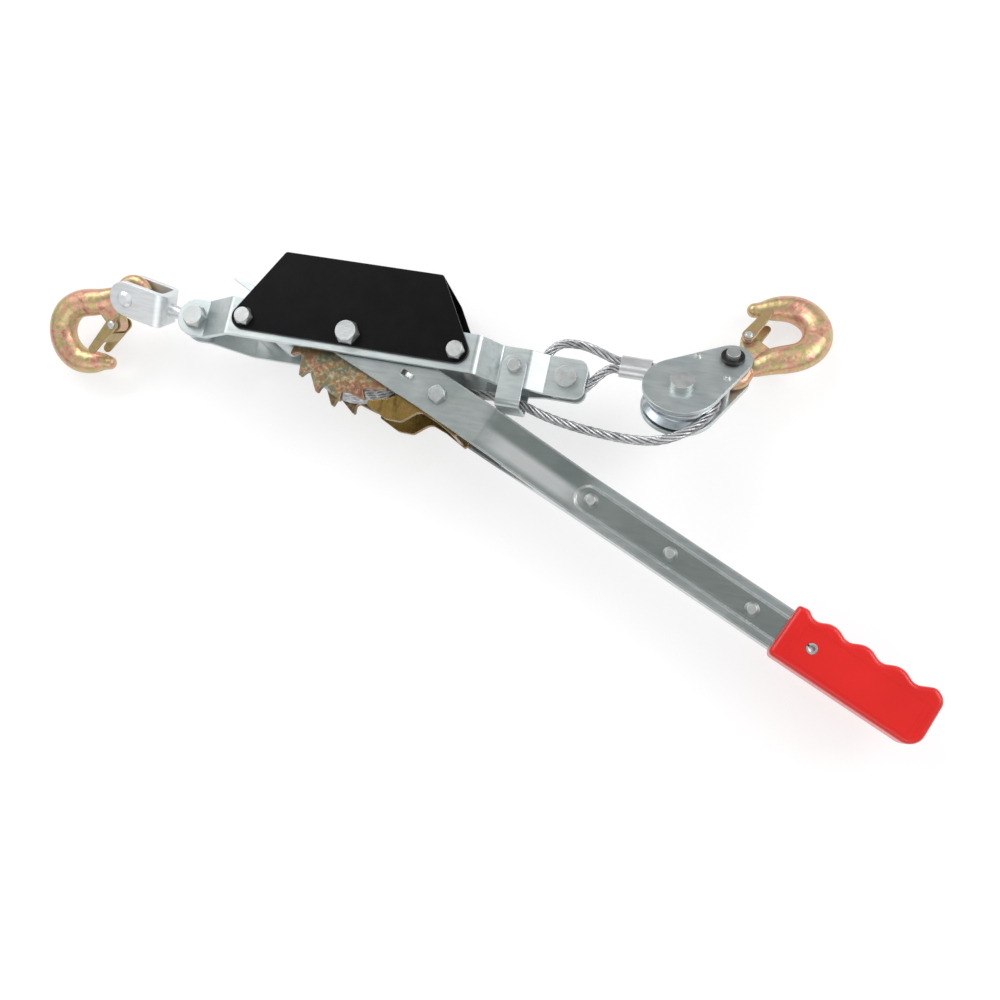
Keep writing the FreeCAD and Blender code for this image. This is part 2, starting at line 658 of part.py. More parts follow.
hold_outline = belt([(0, 0, 5.6), (12.9, 11.76, 1.2), (3.0, 9.5, 2.0), (-2.0, 5.0, 2.5)])
hold_solids = []
for side, z in (("front", size("finger_z")), ("rear", -size("finger_z") - size("finger_t"))):
    finger = outline_body("hold_%s_finger" % side, hold_outline, "Sizes.finger_t",
                          [(0, 0, pawl_hole)])
    finger.Placement = Placement(Vector(0, 0, z), Rotation())
    hold_solids.append(finger)
hold_tube = tube("hold_barrel", "10.4", pawl_hole, "2 * Sizes.finger_z + 0.4",
                 -size("finger_z") - 0.2)
tab_outline = rounded([
    (3.0, 3.0, 1.0), (-1.5, 27.0, 5.0), (-28.0, 45.0, 0.7), (-29.2, 43.6, 0.7),
    (-8.0, 23.0, 4.0), (-4.9, 1.0, 1.0), (-4.0, -2.0, 0.5), (3.8, -2.0, 0.5),
])
tab = outline_body("release_tab", tab_outline, "3.0", [(0, 0, pawl_hole)])
tab.Placement = Placement(Vector(0, 0, -1.5), Rotation())
finish(fuse("holding_pawl_solid", [*hold_solids, hold_tube, tab]), "holding_pawl", hold_pawl_frame)

# ---- swivel stud and yoke ----

stud_half = size("clevis_gap") / 2 - 0.3
eye_wall = cylinder("stud_eye_wall", "18.0", "%f" % (2 * stud_half), -stud_half)
stud_shank_end = size("stud_reach") + size("yoke_t") + 0.3
stud_shank = cylinder("stud_shank", "Sizes.stud_d", "%f" % (stud_shank_end - 5.0), 5.0)
stud_shank.Placement = Placement(Vector(-5.0, 0, 0), Rotation(Y_AXIS, -90))
stud_head = cylinder("stud_head", "10.0", "4.0")
stud_head.Placement = Placement(Vector(-stud_shank_end, 0, 0), Rotation(Y_AXIS, -90))
stud_blank = fuse("stud_blank", [eye_wall, stud_shank, stud_head])
stud_bore = cylinder("stud_bore", "Sizes.m8_d + 2 * Sizes.run_gap", "%f" % (2 * stud_half), -stud_half)
finish(cut("stud_solid", stud_blank, stud_bore), "swivel_stud", stud_frame)

reach = size("yoke_reach")
yoke_in = size("yoke_half") - size("yoke_t")
yoke_profile = rounded([
    (-size("yoke_r"), size("yoke_half"), 0), (-size("yoke_r"), yoke_in, 0),
    (reach - size("yoke_t"), yoke_in, 2.5), (reach - size("yoke_t"), -yoke_in, 2.5),
    (-size("yoke_r"), -yoke_in, 0), (-size("yoke_r"), -size("yoke_half"), 0),
    (reach, -size("yoke_half"), 6.5), (reach, size("yoke_half"), 6.5),
])
yoke_bent = bent_strip("yoke", yoke_profile, "2 * Sizes.yoke_r + 2", belt([
    (0, 0, size("yoke_r")), (reach - 3.0, -size("yoke_r") + 3.0, 3.0),
    (reach - 3.0, size("yoke_r") - 3.0, 3.0),
]), "4 * Sizes.yoke_half", [(0, 0, "Sizes.hook_pin_d + Sizes.hole_gap")])
stud_hole = cylinder("yoke_stud_hole", "Sizes.stud_d + 2 * Sizes.run_gap", "20.0")
stud_hole.Placement = Placement(Vector(reach - 10.0, 0, 0), Rotation(Y_AXIS, 90))
finish(cut("yoke_solid", yoke_bent, stud_hole), "yoke", yoke_frame)
rivet("yoke_pin", size("hook_pin_d"), size("yoke_half"), 10.6, 2.0, yoke_frame, 0, 0)

# ---- hooks ----

lug_x = 13.0
lug_y = 17.5
latch_reach_x = 15.3
latch_reach_y = 15.0


def disc(centre, direction, width, thickness):
    """Oval section of the forging: width in the hook's plane, thickness across it."""
    if width >= thickness:
        oval = Part.Ellipse(Vector(), width / 2, thickness / 2)
    else:
        oval = Part.Ellipse(Vector(), thickness / 2, width / 2)
    shape = oval.toShape()
    if width < thickness:
        shape.rotate(Vector(), Z_AXIS, 90)
    wire = Part.Wire([shape])
    side = Vector(-direction.y, direction.x, 0)
    wire.Placement = Placement(centre, Rotation(side, Z_AXIS, direction, "ZXY"))
    return wire


def hook_shape():
    """Eye, tapered shank, bowl and jaw; the eye's centre is the origin, the bowl opens to +Y."""
    bowl = Vector(size("bowl_x"), size("bowl_y"), 0)
    radius = size("bowl_r")
    stations = []

    def station(angle, width, thickness):
        way = math.radians(angle)
        centre = bowl + Vector(radius * math.cos(way), radius * math.sin(way), 0)
        stations.append(disc(centre, Vector(-math.sin(way), math.cos(way), 0), width, thickness))

    shank_foot = Vector(size("eye_r"), 0.2, 0)
    stations.append(disc(shank_foot, X_AXIS, 9.0, 2 * size("eye_bar") - 0.4))
    stations.append(disc(Vector(size("eye_r") + 6.0, 0.8, 0), X_AXIS, 13.0, 9.5))
    stations.append(disc(Vector(size("bowl_x") - 12.0, size("bowl_y") - radius - 0.6, 0), X_AXIS,
                         16.0, 13.5))
    station(-78, 17.0, 15.0)
    station(-45, 17.5, 15.5)
    station(-10, 17.5, 15.5)
    station(30, 17.5, 15.5)
    station(65, 16.5, 15.0)
    station(92, 15.0, 13.5)
    jaw_y = size("bowl_y") + radius
    stations.append(disc(Vector(size("bowl_x") - 7.5, jaw_y + 0.2, 0), -X_AXIS, 12.0, 11.0))
    stations.append(disc(Vector(size("bowl_x") - 14.0, jaw_y + 1.0, 0), -X_AXIS, 8.5, 8.5))
    bar = Part.makeLoft(stations, True, False)
    tip = Part.makeSphere(4.25, Vector(size("bowl_x") - 14.0, jaw_y + 1.0, 0))
    eye = Part.makeTorus(size("eye_r"), size("eye_bar"))
    lug = Part.Face(Part.Wire([e.toShape() for e in belt([
        (lug_x - 0.5, 4.0, 2.0), (lug_x + 10.0, 5.5, 3.0), (lug_x, lug_y, 4.2),
    ])])).extrude(Vector(0, 0, 8.0))
    lug.translate(Vector(0, 0, -4.0))
    bore = Part.makeCylinder(1.55, 12.0, Vector(lug_x, lug_y, -6.0))
    hook = eye.fuse([bar, tip, lug]).removeSplitter()
    return hook.cut(bore)


latch_in = 7.4
latch_t = 1.2


def add_hook(prefix, frame):
    forging = doc.addObject("Part::Feature", prefix + "_hook_shape")
    forging.Shape = hook_shape()
    finish(forging, prefix + "_hook", frame)
    latch_outline = belt([(0, 0, 3.8), (latch_reach_x, latch_reach_y, 2.6)])
    sides = []
    for side, z in (("front", latch_in), ("rear", -latch_in - latch_t)):
        plate = outline_body("%s_latch_%s" % (prefix, side), latch_outline, "%f" % latch_t,
                             [(0, 0, "3.1")])
        plate.Placement = Placement(Vector(0, 0, z), Rotation())
        sides.append(plate)
    bridge = doc.addObject("Part::Box", prefix + "_latch_bridge")
    bridge.Length = 7.5
    bridge.Width = latch_t
    bridge.Height = 2 * latch_in + 0.4
    lean = math.degrees(math.atan2(latch_reach_y, latch_reach_x))
    offset = Rotation(Z_AXIS, lean).multVec(Vector(4.6, 2.1, 0))
    bridge.Placement = Placement(offset + Vector(0, 0, -latch_in - 0.2), Rotation(Z_AXIS, lean))
    latch = fuse(prefix + "_latch_solid", [*sides, bridge])
    finish(latch, prefix + "_hook_latch", at(frame, lug_x, lug_y))
    rivet(prefix + "_latch_rivet", 3.0, latch_in + latch_t + 0.1, 5.6, 1.0, frame, lug_x, lug_y)
    ring_spring(prefix + "_latch_spring", 2.6, 0.5, 4.3, 3, frame, lug_x, lug_y)


add_hook("frame", frame_hook_frame)
add_hook("block", block_hook_frame)

# ---- pulley block ----

block_outline = belt([(0, 0, size("block_r")), (HOOK_PIN_X, HOOK_PIN_Y, size("block_small_r"))])
spacer_places = [(5.1, 25.5), (23.8, 11.2)]
block_holes = [(0, 0, "Sizes.m8_d + Sizes.hole_gap"),
               (HOOK_PIN_X, HOOK_PIN_Y, "Sizes.hook_pin_d + Sizes.hole_gap")]
block_holes += [(x, y, "4.1") for x, y in spacer_places]
block_in = size("block_gap") / 2
block_out = block_in + size("block_t")
for label, z in (("front_block_plate", block_in), ("rear_block_plate", -block_out)):
    finish(outline_body(label, block_outline, "Sizes.block_t", block_holes), label,
           at(block_frame, z=z))
sheave_pin_solids = [
    cylinder("sheave_pin_shank", "Sizes.m8_d", "%f" % (2 * block_out), -block_out),
    cylinder("sheave_pin_head", "13.4", "4.2", block_out),
    cylinder("sheave_pin_end", "11.5", "2.0", -block_out - 2.0),
]
finish(fuse("sheave_pin_solid", sheave_pin_solids), "sheave_pin", block_frame)
hook_pin_solids = [
    cylinder("hook_pin_shank", "Sizes.hook_pin_d", "%f" % (2 * block_out + 5.0), -block_out),
    cylinder("hook_pin_end", "12.0", "2.5", -block_out - 2.5),
]
finish(fuse("hook_pin_solid", hook_pin_solids), "block_hook_pin",
       at(block_frame, HOOK_PIN_X, HOOK_PIN_Y))
ring = tube("ring", "13.6", "Sizes.hook_pin_d + Sizes.hole_gap", "2.2", block_out)
finish(ring, "retaining_ring", at(block_frame, HOOK_PIN_X, HOOK_PIN_Y))
for i, (x, y) in enumerate(spacer_places, 1):
    post = cylinder("post_%d_wall" % i, "5.0", "Sizes.block_gap", -block_in)
    pin = cylinder("post_%d_pin" % i, "4.0", "%f" % (2 * block_out), -block_out)
    solids = [post, pin]
    for side, z in (("top", block_out), ("low", -block_out)):
        dome = doc.addObject("Part::Cone", "post_%d_%s" % (i, side))
        dome.Radius1 = 2.6
        dome.Radius2 = 1.2
        dome.Height = 1.6
        turn = Rotation() if side == "top" else Rotation(X_AXIS, 180)
        dome.Placement = Placement(Vector(0, 0, z), turn)
        solids.append(dome)
    finish(fuse("post_%d_solid" % i, solids), "block_spacer_rivet_%d" % i, at(block_frame, x, y))

sheave = doc.addObject("PartDesign::Body", "sheave_body")
sheave_sketch = sheave.newObject("Sketcher::SketchObject", "sheave_sketch")
sheave_plane = [item for item in sheave.Origin.OriginFeatures if item.Role == "XZ_Plane"][0]
sheave_sketch.AttachmentSupport = [(sheave_plane, "")]
sheave_sketch.MapMode = "FlatFace"
sheave_half = size("sheave_w") / 2
bore_r = size("m8_d") / 2 + size("run_gap")
groove = rope_r + 0.35
sheave_sketch.addGeometry(rounded([
    (bore_r, -sheave_half, 0), (11.0, -sheave_half, 0), (12.5, -sheave_half + 1.2, 1.0),
    (size("groove_r") - 1.5, -sheave_half + 1.2, 1.0), (size("sheave_r") - 1.0, -sheave_half, 0.3),
    (size("sheave_r"), -sheave_half + 0.6, 0.3), (size("groove_r"), -groove * 0.55, groove * 0.8),
    (size("groove_r"), groove * 0.55, groove * 0.8), (size("sheave_r"), sheave_half - 0.6, 0.3),
    (size("sheave_r") - 1.0, sheave_half, 0.3), (size("groove_r") - 1.5, sheave_half - 1.2, 1.0),
    (12.5, sheave_half - 1.2, 1.0), (11.0, sheave_half, 0), (bore_r, sheave_half, 0),
]), False)
sheave_turn = sheave.newObject("PartDesign::Revolution", "sheave_turn")
sheave_turn.Profile = sheave_sketch
sheave_turn.ReferenceAxis = (sheave_sketch, ["V_Axis"])
sheave_turn.Angle = 360.0
finish(sheave, "sheave", block_frame)

# ---- wire rope ----
# one piece from the drum: through the guide, slack to the block, round the sheave, through
# the ferrule, round the anchor pin as an eye and back into the ferrule

wrap_r = size("groove_r") + rope_r + 0.25
leg_gap = size("rope_d") + 0.3
wrap_start = -31.0
ferrule_near = -19.8
ferrule_far = -37.5


def in_block(x, y):
    return block_frame.multVec(Vector(x, y, 0))


def above_middle(x, y, z):
    return Vector(x, y, mid_z + z)


tangent = Vector(-math.sin(math.radians(wrap_start)), math.cos(math.radians(wrap_start)), 0)
wrap_foot = Vector(wrap_r * math.cos(math.radians(wrap_start)),
                   wrap_r * math.sin(math.radians(wrap_start)), 0)
approach = wrap_foot - tangent * 22.8
run_in = [
    above_middle(29.5, -20.5, 0.0),
    above_middle(91.5, -13.6, 0.0),
    above_middle(123.5, -26.6, 5.4),
    above_middle(178.0, -35.0, 24.7),
    in_block(approach.x, approach.y),
    in_block(wrap_foot.x, wrap_foot.y),
]
eye_route = [
    in_block(0.0, wrap_r),
    in_block(-45.5, wrap_r),
    above_middle(133.0, 22.6, -0.4),
    above_middle(117.0, 21.2, 0.0),
    above_middle(109.0, 6.0, 0.0),
    above_middle(118.0, -10.3, 0.0),
    above_middle(136.0, -7.5, 0.0),
    in_block(-45.0, wrap_r - leg_gap),
    in_block(ferrule_near + 0.6, wrap_r - leg_gap),
]


def tangent_runs(route, name):
    """Straight runs joined by tangent arcs, each as large as its two runs allow."""
    edges = []
    radii = []
    last = route[0]
    for i in range(1, len(route) - 1):
        before = route[i] - route[i - 1]
        after = route[i + 1] - route[i]
        shorter = min(before.Length, after.Length)
        half_turn = before.getAngle(after) / 2
        reach_back = 0.45 * shorter
        radius = reach_back / math.tan(half_turn)
        back = Vector(before).normalize()
        ahead = Vector(after).normalize()
        start = route[i] - back * reach_back
        end = route[i] + ahead * reach_back
        inward = (ahead - back).normalize()
        mid = route[i] + inward * (radius / math.cos(half_turn) - radius)
        edges.append(Part.LineSegment(last, start).toShape())
        edges.append(Part.Arc(start, mid, end).toShape())
        radii.append(round(radius, 1))
        last = end
    edges.append(Part.LineSegment(last, route[-1]).toShape())
    print(name, "arc radii", radii)
    return edges


wrap_middle = math.radians((wrap_start + 90.0) / 2)
wrap_arc = Part.Arc(run_in[-1], in_block(wrap_r * math.cos(wrap_middle), wrap_r * math.sin(wrap_middle)),
                    eye_route[0]).toShape()
rope_edges = tangent_runs(run_in, "slack rope") + [wrap_arc] + tangent_runs(eye_route, "rope eye")
rope_path = Part.Wire(rope_edges)
rope_section = Part.Wire([Part.Circle(run_in[0], run_in[1] - run_in[0], rope_r).toShape()])
rope_solid = rope_path.makePipeShell([rope_section], True, False)
rope_expected = math.pi * rope_r ** 2 * rope_path.Length
print("rope length %.1f, volume ratio %.4f" % (rope_path.Length, rope_solid.Volume / rope_expected))
rope = doc.addObject("Part::Feature", "wire_rope_shape")
rope.Shape = rope_solid
finish(rope, "wire_rope", Placement())

ferrule_blank = outline_body("ferrule_blank", belt([
    (0, wrap_r - leg_gap, rope_r + 1.65), (0, wrap_r, rope_r + 1.65),
]), "%f" % (ferrule_near - ferrule_far), [
    (0, wrap_r - leg_gap, "Sizes.rope_d"), (0, wrap_r, "Sizes.rope_d"),
])
# its sketch lies across the rope: the sketch's X is the block's -Z
finish(ferrule_blank, "ferrule", block_frame * Placement(Vector(ferrule_far, 0, 0), Rotation(Y_AXIS, 90)))

# ---- check and write ----

scratch = doc.getObject("Scratch")
if scratch is not None:
    doc.removeObject(scratch.Name)
doc.recompute()
for obj in doc.Objects:
    bad = [flag for flag in obj.State if flag in ("Invalid", "Error")]
    if bad:
        raise RuntimeError("%s failed: %s" % (obj.Name, obj.State))
broken = [obj.Label for obj in parts
          if obj.Shape.isNull() or not obj.Shape.isValid() or not obj.Shape.Solids]
if broken:
    raise RuntimeError("no valid solid: %s" % ", ".join(broken))
os.makedirs("parts", exist_ok=True)
for obj in parts:
    obj.Shape.exportStep(os.path.join("parts", obj.Label + ".step"))
    print("%-24s solids %d volume %.0f" % (obj.Label, len(obj.Shape.Solids), obj.Shape.Volume))
print(len(parts), "parts")
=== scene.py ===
import json
import math
import bpy
from mathutils import Matrix, Vector


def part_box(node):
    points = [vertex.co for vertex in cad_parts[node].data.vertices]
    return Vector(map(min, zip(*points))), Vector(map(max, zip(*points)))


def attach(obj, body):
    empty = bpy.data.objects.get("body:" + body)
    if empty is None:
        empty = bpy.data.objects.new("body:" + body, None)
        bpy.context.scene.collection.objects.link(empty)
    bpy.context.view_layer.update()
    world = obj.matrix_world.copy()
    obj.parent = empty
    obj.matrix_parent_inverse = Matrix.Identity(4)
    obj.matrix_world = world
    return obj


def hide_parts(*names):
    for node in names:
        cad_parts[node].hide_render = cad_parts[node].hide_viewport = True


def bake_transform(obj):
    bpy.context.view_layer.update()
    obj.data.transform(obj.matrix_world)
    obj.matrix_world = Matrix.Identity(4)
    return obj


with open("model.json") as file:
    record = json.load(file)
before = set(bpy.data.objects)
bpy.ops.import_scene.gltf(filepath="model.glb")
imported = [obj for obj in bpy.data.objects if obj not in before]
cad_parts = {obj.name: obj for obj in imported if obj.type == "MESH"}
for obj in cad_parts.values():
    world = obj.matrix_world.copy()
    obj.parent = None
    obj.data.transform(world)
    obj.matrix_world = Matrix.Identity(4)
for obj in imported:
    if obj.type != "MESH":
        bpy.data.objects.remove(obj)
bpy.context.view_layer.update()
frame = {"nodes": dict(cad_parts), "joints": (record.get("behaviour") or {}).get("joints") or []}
print("loaded", len(frame["nodes"]), "nodes")

view = {
    "place": (0.2337, -0.175, 0.6948),  # metres
    "right": (0.9653, 0.2068, -0.1595),
    "up": (-0.1776, 0.9675, 0.1799),
    "back": (0.1915, -0.1453, 0.9707),
    "lens": 42.73,
    "sensor": 36.0,
}
cameraData = bpy.data.cameras.new("mainCamera")
cameraData.lens = view["lens"]
cameraData.sensor_width = view["sensor"]
cameraData.clip_start = 0.01
camera = bpy.data.objects.new("mainCamera", cameraData)
bpy.context.collection.objects.link(camera)
turned = Matrix((view["right"], view["up"], view["back"])).transposed()
camera.matrix_world = Matrix.Translation(view["place"]) @ turned.to_4x4()
bpy.context.scene.camera = camera
bpy.context.scene.view_settings.view_transform = "Standard"

studio = {
    "sky": [(0.0, 0.15), (0.24, 0.25), (0.46, 1.40),  # height, light
            (0.70, 1.30), (0.90, 0.50), (1.0, 0.44)],
    "lobes": 3.0,
    "lobeDepth": 0.42,
    "floorSize": 14.0,
    "floorLevel": -0.0004,
    "floorGlow": 0.66,
    "floorTone": 0.36,
}
lights = {
    "keyLight": {"place": (-0.55, 0.75, 0.95), "target": (0.05, 0.0, 0.03), "watts": 5.0, "width": 0.9},
    "rimLight": {"place": (0.95, 0.35, 0.6), "target": (0.1, 0.0, 0.03), "watts": 2.5, "width": 0.7},
}


def addLight(name, size):
    lightData = bpy.data.lights.new(name, "AREA")
    lightData.energy = size["watts"]
    lightData.shape = "RECTANGLE"
    lightData.size = size["width"]
    lightData.size_y = size["width"] * 0.4
    light = bpy.data.objects.new(name, lightData)
    bpy.context.collection.objects.link(light)
    light.location = size["place"]
    aim = Vector(size["target"]) - Vector(size["place"])
    light.rotation_euler = aim.to_track_quat("-Z", "Y").to_euler()


for name, size in lights.items():
    addLight(name, size)
world = bpy.data.worlds.new("studioWorld")
bpy.context.scene.world = world
world.use_nodes = True
worldNodes = world.node_tree.nodes
worldLinks = world.node_tree.links
background = worldNodes["Background"]
skyPlace = worldNodes.new("ShaderNodeTexCoord")
skySplit = worldNodes.new("ShaderNodeSeparateXYZ")
skyRamp = worldNodes.new("ShaderNodeValToRGB")
skyStops = skyRamp.color_ramp.elements
while len(skyStops) < len(studio["sky"]):
    skyStops.new(0.5)
for stop, (height, light) in zip(skyStops, studio["sky"]):
    stop.position = height
    stop.color = (light, light, light, 1.0)
worldLinks.new(skyPlace.outputs["Generated"], skySplit.inputs[0])
worldLinks.new(skySplit.outputs["Z"], skyRamp.inputs[0])


def worldMath(operation, source, *values):
    node = worldNodes.new("ShaderNodeMath")
    node.operation = operation
    worldLinks.new(source, node.inputs[0])
    for index, value in enumerate(values):
        node.inputs[index + 1].default_value = value
    return node


# bright and dark sides around the horizon give the plating something to mirror
azimuth = worldMath("ARCTAN2", skySplit.outputs["Y"])
worldLinks.new(skySplit.outputs["X"], azimuth.inputs[1])
lobeAngle = worldMath("MULTIPLY", azimuth.outputs[0], studio["lobes"])
lobeWave = worldMath("SINE", lobeAngle.outputs[0])
lobeLight = worldMath("MULTIPLY_ADD", lobeWave.outputs[0], studio["lobeDepth"], 1.0)
worldLinks.new(lobeLight.outputs[0], background.inputs["Strength"])
worldLinks.new(skyRamp.outputs["Color"], background.inputs["Color"])

bpy.ops.mesh.primitive_plane_add(size=studio["floorSize"], location=(0.0, 0.0, studio["floorLevel"]))
floor = bpy.context.object
floor.name = "studioFloor"
print("camera and light set")


class Nodes:  # short way to wire one material's nodes
    def __init__(self, name):
        self.material = bpy.data.materials.new(name)
        self.material.use_nodes = True
        self.tree = self.material.node_tree
        self.shader = self.tree.nodes["Principled BSDF"]
        self.place = self.add("ShaderNodeTexCoord").outputs["Object"]

    def add(self, kind, **values):
        node = self.tree.nodes.new(kind)
        for key, value in values.items():
            setattr(node, key, value)
        return node

    def link(self, output, target):
        self.tree.links.new(output, target)

    def moved(self, scale=(1, 1, 1), turn=(0, 0, 0)):
        mapping = self.add("ShaderNodeMapping")
        mapping.inputs["Scale"].default_value = scale
        mapping.inputs["Rotation"].default_value = [math.radians(angle) for angle in turn]
        self.link(self.place, mapping.inputs["Vector"])
        return mapping.outputs["Vector"]

    def noise(self, scale, detail=4.0, rough=0.55, vector=None, distort=0.0):
        noise = self.add("ShaderNodeTexNoise")
        noise.inputs["Scale"].default_value = scale
        noise.inputs["Detail"].default_value = detail
        noise.inputs["Roughness"].default_value = rough
        noise.inputs["Distortion"].default_value = distort
        self.link(vector or self.place, noise.inputs["Vector"])
        return noise.outputs["Fac"]

    def ramp(self, source, stops):
        ramp = self.add("ShaderNodeValToRGB")
        elements = ramp.color_ramp.elements
        while len(elements) < len(stops):
            elements.new(0.5)
        for element, (position, color) in zip(elements, stops):
            element.position = position
            element.color = (*color, 1.0)
        self.link(source, ramp.inputs[0])
        return ramp.outputs["Color"]

    def math(self, operation, first, second):
        node = self.add("ShaderNodeMath", operation=operation)
        for socket, value in ((node.inputs[0], first), (node.inputs[1], second)):
            if isinstance(value, (int, float)):
                socket.default_value = value
            else:
                self.link(value, socket)
        return node.outputs[0]

    def mix(self, factor, first, second):
        node = self.add("ShaderNodeMix", data_type="RGBA")
        self.link(factor, node.inputs[0])
        for socket, value in ((node.inputs[6], first), (node.inputs[7], second)):
            if isinstance(value, tuple):
                socket.default_value = (*value, 1.0)
            else:
                self.link(value, socket)
        return node.outputs[2]

    def edges(self, radius):
        # mask that is 0 on flat faces and 1 on edges within radius, and the rounded normal
        edgeDot, flatDot = 0.90, 0.985
        bevel = self.add("ShaderNodeBevel", samples=4)
        bevel.inputs["Radius"].default_value = radius
        geometry = self.add("ShaderNodeNewGeometry")
        dot = self.add("ShaderNodeVectorMath", operation="DOT_PRODUCT")
        self.link(bevel.outputs[0], dot.inputs[0])
        self.link(geometry.outputs["Normal"], dot.inputs[1])
        span = self.add("ShaderNodeMapRange")
        span.inputs["From Min"].default_value = flatDot
        span.inputs["From Max"].default_value = edgeDot
        self.link(dot.outputs["Value"], span.inputs["Value"])
        return span.outputs[0], bevel.outputs[0]

    def finish(self, color, roughness, metallic, height=None, depth=0.0002, normal=None, coat=0.0):
        shader = self.shader
        self.link(color, shader.inputs["Base Color"])
        if isinstance(roughness, float):
            shader.inputs["Roughness"].default_value = roughness
        else:
            self.link(roughness, shader.inputs["Roughness"])
        shader.inputs["Metallic"].default_value = metallic
        shader.inputs["Coat Weight"].default_value = coat
        shader.inputs["Coat Roughness"].default_value = 0.08
        if height is not None:
            bump = self.add("ShaderNodeBump")
            bump.inputs["Distance"].default_value = depth
            self.link(height, bump.inputs["Height"])
            if normal is not None:
                self.link(normal, bump.inputs["Normal"])
            self.link(bump.outputs[0], shader.inputs["Normal"])
        return self.material


def zinc(name, dark, light, streak=(12, 90, 90), turn=(0, 0, 0), rough=(0.26, 0.44), edge=0.0007,
         grain=0.00003, height=None, tone=None):
    # clear zinc plating: soft rolling streaks, faint blue patches and bright edges
    nodes = Nodes(name)
    streaks = nodes.noise(6.0, 5.0, 0.6, nodes.moved(streak, turn), 0.3)
    patches = nodes.noise(38.0, 3.0, 0.5)
    cloud = nodes.ramp(patches, [(0.35, dark), (0.62, light)])
    blue = nodes.mix(nodes.ramp(nodes.noise(55.0, 2.0), [(0.52, (0, 0, 0)), (0.72, (0.4, 0.4, 0.4))]),
                     cloud, tuple(channel * tint for channel, tint in zip(light, (0.88, 0.97, 1.04))))
    streaked = nodes.mix(nodes.ramp(streaks, [(0.3, (0.35, 0.35, 0.35)), (0.6, (0, 0, 0))]), blue,
                         tuple(channel * 0.8 for channel in dark))
    # for the handle this tone function paints shade and a reflection into the colour
    if tone is not None:
        streaked = tone(nodes, streaked)
    edgeMask, roundNormal = nodes.edges(edge)
    color = nodes.mix(nodes.math("MULTIPLY", edgeMask, 0.7), streaked, (0.84, 0.86, 0.87))
    span = nodes.add("ShaderNodeMapRange")
    span.inputs["To Min"].default_value = rough[0]
    span.inputs["To Max"].default_value = rough[1]
    nodes.link(streaks, span.inputs["Value"])
    fine = nodes.noise(900.0, 2.0, 0.6)
    relief = nodes.math("ADD", fine, nodes.math("MULTIPLY", streaks, 0.5))
    if height is not None:
        relief = nodes.math("ADD", relief, height(nodes))
    return nodes.finish(color, span.outputs[0], 0.88, relief, grain, roundNormal)


def yellowZinc(name, tints, pit=260.0, depth=0.0004, rough=(0.30, 0.46), edge=0.0009, speck=0.4):
    # yellow zinc plating on a forging: gold, pink and green patches over a pitted skin
    nodes = Nodes(name)
    patches = nodes.noise(70.0, 5.0, 0.65, distort=1.2)
    color = nodes.ramp(patches, tints)
    shimmer = nodes.noise(420.0, 3.0, 0.7)
    speckled = nodes.mix(nodes.ramp(shimmer, [(0.48, (0, 0, 0)), (0.72, (speck, speck, speck))]), color,
                         (0.86, 0.68, 0.48))
    dirt = nodes.ramp(nodes.noise(170.0, 6.0, 0.75), [(0.26, (0.6, 0.6, 0.6)), (0.42, (0, 0, 0))])
    aged = nodes.mix(dirt, speckled, (0.16, 0.10, 0.06))
    edgeMask, roundNormal = nodes.edges(edge)
    worn = nodes.mix(nodes.math("MULTIPLY", edgeMask, 0.45), aged, (0.88, 0.66, 0.50))
    cells = nodes.add("ShaderNodeTexVoronoi")
    cells.inputs["Scale"].default_value = pit
    nodes.link(nodes.place, cells.inputs["Vector"])
    relief = nodes.math("ADD", nodes.math("MULTIPLY", cells.outputs["Distance"], 0.5),
                        nodes.noise(110.0, 5.0, 0.6))
    span = nodes.add("ShaderNodeMapRange")
    span.inputs["To Min"].default_value = rough[0]
    span.inputs["To Max"].default_value = rough[1]
    nodes.link(shimmer, span.inputs["Value"])
    return nodes.finish(worn, span.outputs[0], 0.82, relief, depth, roundNormal)


forgedTints = [(0.28, (0.24, 0.12, 0.07)), (0.38, (0.60, 0.29, 0.20)), (0.48, (0.70, 0.40, 0.28)),
               (0.55, (0.44, 0.42, 0.18)), (0.60, (0.62, 0.44, 0.22)), (0.68, (0.68, 0.33, 0.26))]
ratchetTints = [(0.28, (0.14, 0.07, 0.045)), (0.40, (0.26, 0.12, 0.08)), (0.48, (0.25, 0.17, 0.07)),
                (0.56, (0.12, 0.15, 0.11)), (0.62, (0.20, 0.15, 0.07)), (0.70, (0.30, 0.12, 0.10))]
latchTints = [(0.30, (0.26, 0.19, 0.08)), (0.50, (0.42, 0.33, 0.14)), (0.70, (0.46, 0.26, 0.18))]
pawlTints = [(0.30, (0.13, 0.08, 0.02)), (0.50, (0.27, 0.18, 0.045)), (0.70, (0.30, 0.16, 0.06))]

handle = {
    "angle": -23.7,  # degrees, from +X
    "ribStart": 0.176,
    "ribEnd": 0.284,
    "ribY": -0.0060,
    "ribPitch": 0.0023,
    "ribWidth": 0.0009,
    "ribHeight": 1.6,
}
# painted shade and a painted reflection on the handle, laid on as colour patches
handleShadeAndGlare = [  # low, high and fading width along and across the handle
    # painted shade in the pressed panel's recess
    {"along": (0.168, 0.30, 0.006), "across": (-0.0066, 0.0058, 0.0012), "share": 0.55,
     "color": (0.20, 0.24, 0.22)},
    # painted shade on one side of the bend before the panel
    {"along": (0.104, 0.158, 0.016), "across": (0.004, 0.012, 0.006), "share": 0.6,
     "color": (0.16, 0.20, 0.19)},
    # painted reflection on the other side of that bend
    {"along": (0.116, 0.150, 0.022), "across": (-0.0065, -0.0015, 0.004), "share": 0.75,
     "color": (0.92, 0.94, 0.94)},
]
gripPanel = {
    "along": (0.3405, 0.0375),  # middle and half length
    "across": (-0.0005, 0.0105),
    "border": (0.95, 1.03),  # inner and outer edge, in half lengths
}


